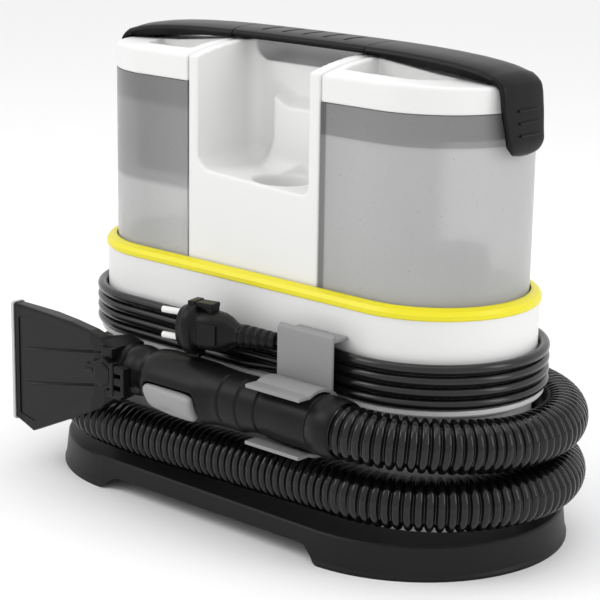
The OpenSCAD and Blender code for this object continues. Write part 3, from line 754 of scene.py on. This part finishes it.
def tool_radius(x, a):
    """The body's radius at place x and angle a from the trigger's middle."""
    r = (interp(TOOL, x) + interp(TOOL, x - 1.5) + interp(TOOL, x + 1.5)) / 3
    a = (a + math.pi) % (2 * math.pi) - math.pi
    d = trigger_distance(x, a)
    r += SEAT_RIM * (1 - sm(0, 15, d))
    r += BELLY * max(0, math.cos(a + BELLY_AT)) ** 2 * sm(-50, -10, x) * (1 - sm(34, 53, x))
    r -= SEAT_DEPTH * sm(0, 0.8, -d)
    for g in GROOVES:
        if abs(x - g) < GROOVE_W and abs(a) < 2.1:
            r -= GROOVE_DEPTH * (1 - ((x - g) / GROOVE_W) ** 2)
    return r


rows = []
for x in span(-80, 108, 268):
    rows.append([Vector((x, 0, 0)) + AXIS + tool_radius(x, a) * (math.cos(a) * TD + math.sin(a) * TU)
                 for a in span(0, 2 * math.pi, 144)[:-1]])
tool = mesh("tool_moulded_body", *scaled(skin(rows)), BLACK)
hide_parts("tool_body")
cuff = mesh("tool_cuff_collar", *scaled(turned(
    [(108.6, 18), (108.6, 20.6), (109.2, 21.1), (120, 21.3), (123, 21.0), (126, 20.6), (127.6, 20.1),
     (128, 19.4), (127, 18.5), (120, 18.2)], AXIS, n=96)), BLACK)
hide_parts("tool_cuff")


def button_row(h, inset, n=96):
    """One level of the trigger; above its base it slopes down to the left and to its edges."""
    row = []
    for j in range(n):
        c, s = superellipse(2 * math.pi * j / n, 1 / 3)
        x, w = (25.3 - inset) * c, (11.2 - inset) * s
        fall = 2.2 * sm(6, -26, x) + 0.012 * w * w if h else 0
        row.append(Vector((TX + x, 0, 0)) + AXIS + TD * (19.2 + h - fall) + TU * w)
    return row


button = mesh("spray_trigger", *scaled(skin([button_row(h, i) for h, i in (
    (0, 0), (5.0, 0), (5.9, .25), (6.6, .8), (7.1, 1.7), (7.4, 3.0), (7.55, 4.6), (7.6, 6.5), (7.6, 8.4))])),
    LGREY, body="trigger", slot="grey_plastic")
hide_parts("spray_button")

# ---------------------------------------------------------------- nozzle
# place, bottom, top, front and back of the fan's sections, from the mouth to the tool
FAN = [(-210, 36, 129.5, -116, -106), (-200, 33, 129.5, -116.2, -106), (-188, 29.6, 129.5, -117.1, -106),
       (-165, 40, 129.5, -118.8, -106.5), (-137, 52.6, 129.4, -121, -110.6), (-112, 64, 127.5, -123, -112.5),
       (-100, 70, 124.5, -123, -112.5), (-97, 73, 122.8, -123, -95), (-86, 80, 119, -122, -92)]


def fan_row(x, z0, z1, front, back, r=2.0):
    pts = [(front, z0), (back, z0), (back, z1), (front, z1)]
    return [Vector((x, p.x, p.y)) for p in round_poly([(a, b, 0) for a, b in pts], r, 3)]


rows = []
for (x0, *a), (x1, *b) in zip(FAN, FAN[1:]):
    k = max(1, round((x1 - x0) / 5))
    for i in range(k):
        rows.append(fan_row(x0 + (x1 - x0) * i / k, *[p + (q - p) * i / k for p, q in zip(a, b)]))
rows.append(fan_row(*FAN[-1]))
fan_solid = skin(rows)
mouth = skin([fan_row(*q, 1.0) for q in ((-230, 38, 127.5, -114, -108), (-200, 37, 127.5, -114.2, -108),
                                          (-180, 42, 124, -115, -109))])
# a shallow panel sunk in the fan's front
panel = [[], []]
for x, z in ((-204, 41), (-204, 119), (-190, 123.5), (-137, 122.5), (-108, 117), (-108, 77), (-186, 38.5)):
    face = -116 - max(0, x + 205) * 0.071
    panel[0].append(Vector((x, face - 6, z)))
    panel[1].append(Vector((x, face + 0.8, z)))
inlay = skin(panel)
fan_vf = carve(fan_solid, [mouth, inlay])
neck = turned([(-96, 15), (-94, 17.3), (-86, 17.8), (-81.5, 17.4), (-80.4, 16.4), (-69, 16.0)], AXIS, n=72)
fan = mesh("nozzle_fan", *scaled(join(fan_vf, neck)), BLACK, body="nozzle", smooth=False,
           mods=(bevel(.0007, 3),))
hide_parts("nozzle_body")


def rib(p, q):
    """A thin round rib from a point at p to q."""
    p, q = Vector(p), Vector(q)
    return skin([ring(c, r, Vector((0, -1, 0)), UP, 10) for c, r in ((p, 0.3), (p.lerp(q, .02), 1), (q, 1))])


ribs = join(rib((-195, -116.1, 95.4), (-100, -122.6, 113.5)), rib((-195, -116.1, 67.6), (-103, -122.3, 87)))
mesh("nozzle_ribs", *scaled(ribs), BLACK, body="nozzle")
lip_vf = carve(skin([fan_row(x, 34.6, 130.4, -117, -105, 2.4) for x in (-212, -209.3)]),
               [skin([fan_row(x, 37, 128, -114.2, -107.8, 1) for x in (-220, -200)])])
lip = mesh("nozzle_lip_strip", *scaled(lip_vf), LIPM, body="nozzle", slot="grey_plastic",
           mods=(bevel(.0004, 2),))
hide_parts("nozzle_lip")


def prism(c, r, h, n, turn=0):
    """An n-sided prism standing h forward from c."""
    u = Vector((math.cos(turn), 0, math.sin(turn)))
    w = Vector((-math.sin(turn), 0, math.cos(turn)))
    return skin([ring(Vector(c) - Vector((0, d, 0)), r, u, w, n) for d in (0, h)])


# the hex knob with its cap and stub, then the latch and its bars
knob_vf = join(prism((-91, -121, 99.5), 13, 8.5, 6, rad(30)), prism((-91, -129, 99.5), 9.5, 1.6, 6, rad(30)),
               prism((-104, -121, 101), 6, 5.5, 24), box_mesh((-91, -122.5, 115), (12, 6, 8)),
               box_mesh((-79.5, -128, 98), (4, 7, 25)), box_mesh((-73.5, -127.5, 106), (9, 6.5, 6)),
               box_mesh((-73.5, -127.5, 97), (9, 6.5, 6)), box_mesh((-73.5, -127.5, 88), (9, 6.5, 5)),
               box_mesh((-68.5, -127.5, 97.5), (3.5, 6.5, 22)), box_mesh((-83, -122.5, 84.5), (16, 7, 6)))
knob = mesh("nozzle_hex_knob", *scaled(knob_vf), BLACK, body="nozzle", smooth=False, mods=(bevel(.0008, 3),))
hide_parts("nozzle_knob")

# ---------------------------------------------------------------- clip bracket
def strip(line, x0, x1, t):
    """A sheet of thickness t along a (y, z) line, spanning x0 to x1."""
    outer, inner = [], []
    for i, (y, z) in enumerate(line):
        a, b = line[max(i - 1, 0)], line[min(i + 1, len(line) - 1)]
        d = Vector((b[0] - a[0], b[1] - a[1], 0)).normalized()
        outer.append((y + d.y * t / 2, z - d.x * t / 2))
        inner.append((y - d.y * t / 2, z + d.x * t / 2))
    return skin([[Vector((x, y, z)) for y, z in outer + inner[::-1]] for x in (x0, x1)])


# the clip round the tool: a lip above, most of a circle, and a lip below
hold = [(-22, 20.4), (-19.5, 20.8), (-16, 20.6), (-12.6, 20.6)]
hold += [(23 * math.cos(rad(a)), 23 * math.sin(rad(a))) for a in range(118, -119, -6)]
hold += [(a, -b) for a, b in reversed(hold[:4])]
hold = [(AXIS.y + a, AXIS.z + b) for a, b in hold]
plate = [(-93.6, 116), (-93.6, 130), (-93.6, 150), (-93.7, 156), (-93.3, 158.6), (-91.8, 159.9),
         (-90, 159.4)]
bracket_vf = join(strip(plate, 53.5, 105, 2.4), strip(hold, 54, 104.5, 2.6),
                  box_mesh((79.5, -84.2, 155.6), (46, 17.6, 2.4)), box_mesh((77.5, -85, 112.2), (35, 10, 3.4)))
bracket = mesh("clip_bracket_sheet", *scaled(bracket_vf), GREY, slot="grey_plastic", mods=(bevel(.0009, 3),))
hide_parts("clip_bracket")

# ---------------------------------------------------------------- CAD nodes
# width and segments of the rounded edges, where they aren't the plain ones
BEV = {"base_plate": (.0012, 3), "lower_housing": (.0006, 2), "trim_ring": (.0005, 2),
       "tank_deck": (.0004, 2), "clip_bracket": (.0007, 3), "column_shell": (.0012, 3),
       "recess_tray": (.0015, 3), "grip_bar": (.0012, 3), "fresh_shell": (.0008, 2),
       "dirty_shell": (.0008, 2), "fresh_lid": (.0012, 3), "dirty_lid": (.0012, 3),
       "fresh_arm": (.0010, 3), "dirty_arm": (.0010, 3), "spray_button": (.0004, 2)}
for name, o in NODES.items():
    o.data.materials.clear()
    o.data.materials.append(ONE.get(name) or LOOKS[SLOT[name]])
    bevel(*BEV.get(name, (.0003, 2)))(o)

# ---------------------------------------------------------------- studio
FLOORM = material("floor_pale", (0.93, 0.93, 0.93), 0.9, bump=0.0, scale=300, vary=0.004, spec=0.1)
fl = D.meshes.new("floor")
fl.from_pydata([(-6, -6, 0), (6, -6, 0), (6, 6, 0), (-6, 6, 0)], [], [(0, 1, 2, 3)])
floor = D.objects.new("floor", fl)
fl.materials.append(FLOORM)
SC.collection.objects.link(floor)

world = D.worlds.new("studio")
SC.world = world
world.use_nodes = True
put(world.node_tree.nodes["Background"], Color=(1, 1, 1, 1), Strength=0.95)


def area(name, loc, target, size, power):
    light = D.lights.new(name, "AREA")
    light.shape, light.energy = "RECTANGLE", power
    light.size, light.size_y = size
    o = D.objects.new(name, light)
    SC.collection.objects.link(o)
    o.location = loc
    o.rotation_euler = (Vector(target) - Vector(loc)).to_track_quat("-Z", "Y").to_euler()


area("key_left", (-1.1, -1.3, 1.5), (0, 0, .15), (1.0, 1.0), 9)
area("top_soft", (0.1, -0.1, 1.8), (0, 0, .15), (1.6, 1.2), 6)
area("right_rim", (1.6, 0.5, 0.9), (0.1, 0, .12), (0.5, 1.2), 6)
